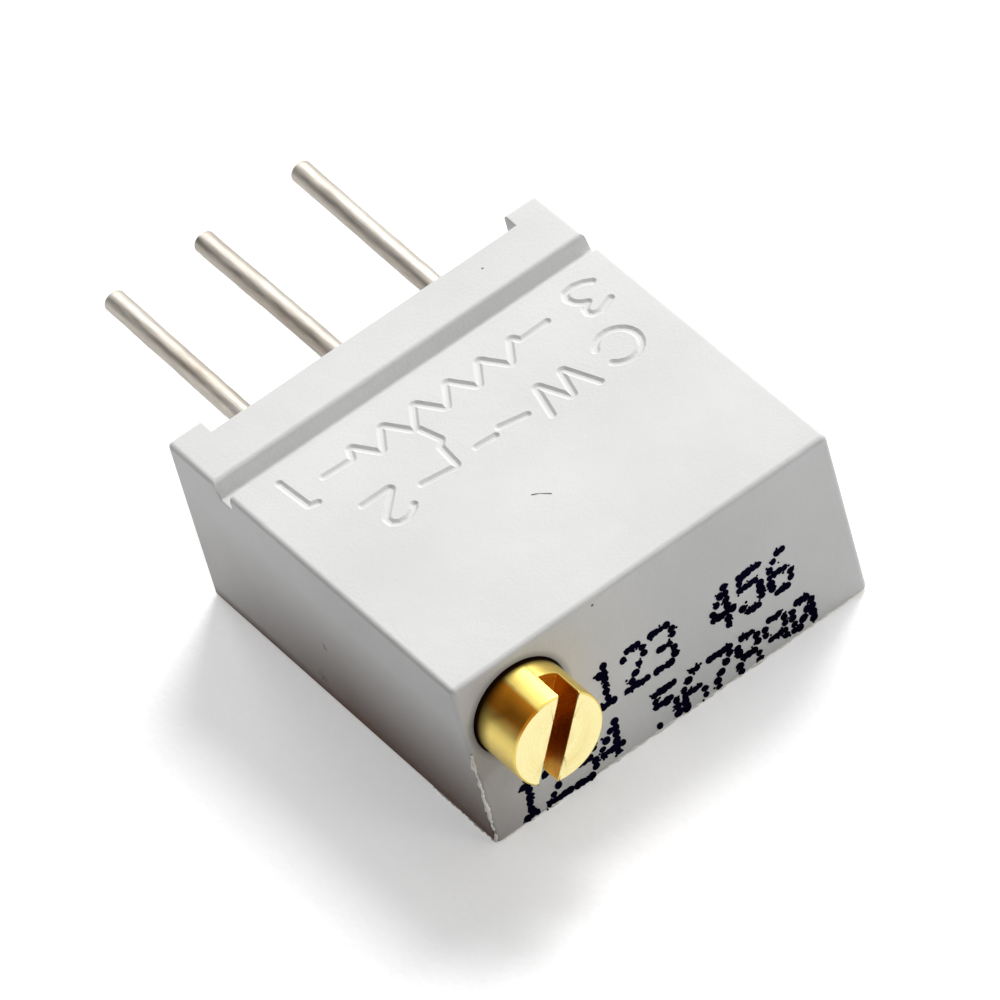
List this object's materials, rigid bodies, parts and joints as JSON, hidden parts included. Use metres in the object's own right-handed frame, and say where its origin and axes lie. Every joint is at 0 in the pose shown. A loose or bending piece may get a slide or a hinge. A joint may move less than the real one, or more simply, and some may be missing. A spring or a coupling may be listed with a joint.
{
  "type": "trimmer potentiometer",
  "caption": "Square sealed trimmer potentiometer with a slotted brass screw at one end, straight pins at the other, and a worm-driven wiper inside.",
  "frame": {"origin": "centre of the body's plain broad face, on which the part lies, feet left out", "axes": "+X along the row of pins from pin 1 to pin 3, +Y from the screw's face to the pins, +Z from the resting face to the marked face"},
  "size_m": [0.0096, 0.0174, 0.0046],
  "materials": {
    "moulded_housing": "fine matt moulded, off-white",
    "brass": "turned and polished",
    "seal_rubber": "smooth",
    "clip_steel": "stamped",
    "rotor_plastic": "smooth moulded",
    "spring_alloy": "stamped and formed",
    "contact_wire": "drawn precious-metal wire",
    "alumina": "sintered, matt",
    "cermet": "fired film",
    "conductor": "fired silver film",
    "solder": "satin",
    "tinned_wire": "tinned, satin",
    "baffle_plastic": "smooth moulded",
    "epoxy": "cured, slightly glossy"
  },
  "bodies": {
    "case": {"housing": "moulded_housing", "retaining_clip": "clip_steel", "ceramic_substrate": "alumina", "resistive_track": "cermet", "collector_film": "conductor", "end_film_1": "conductor", "end_film_3": "conductor", "solder_joint_1": "solder", "solder_joint_2": "solder", "solder_joint_3": "solder", "pin_1": "tinned_wire", "pin_2": "tinned_wire", "pin_3": "tinned_wire", "end_baffle": "baffle_plastic", "epoxy_seal": "epoxy"},
    "screw": {"adjustment_screw": "brass", "o_ring": "seal_rubber"},
    "rotor": {"worm_wheel": "rotor_plastic", "contact_spring": "spring_alloy", "wiper_brush": "contact_wire", "collector_brush": "contact_wire"}
  },
  "joints": [
    {"name": "screw_turn", "type": "hinge", "parent": "case", "child": "screw", "pos_m": [-0.00341, 0, 0.00311], "axis": [0, 1, 0], "range_deg": [-4500, 4500]},
    {"name": "rotor_turn", "type": "hinge", "parent": "case", "child": "rotor", "pos_m": [0.00018, -0.0003, 0.00311], "axis": [0, 0, 1], "range_deg": [-150, 150]}
  ],
  "couplings": [
    {"joint": "rotor_turn", "follows": "screw_turn", "ratio": 0.033333}
  ]
}
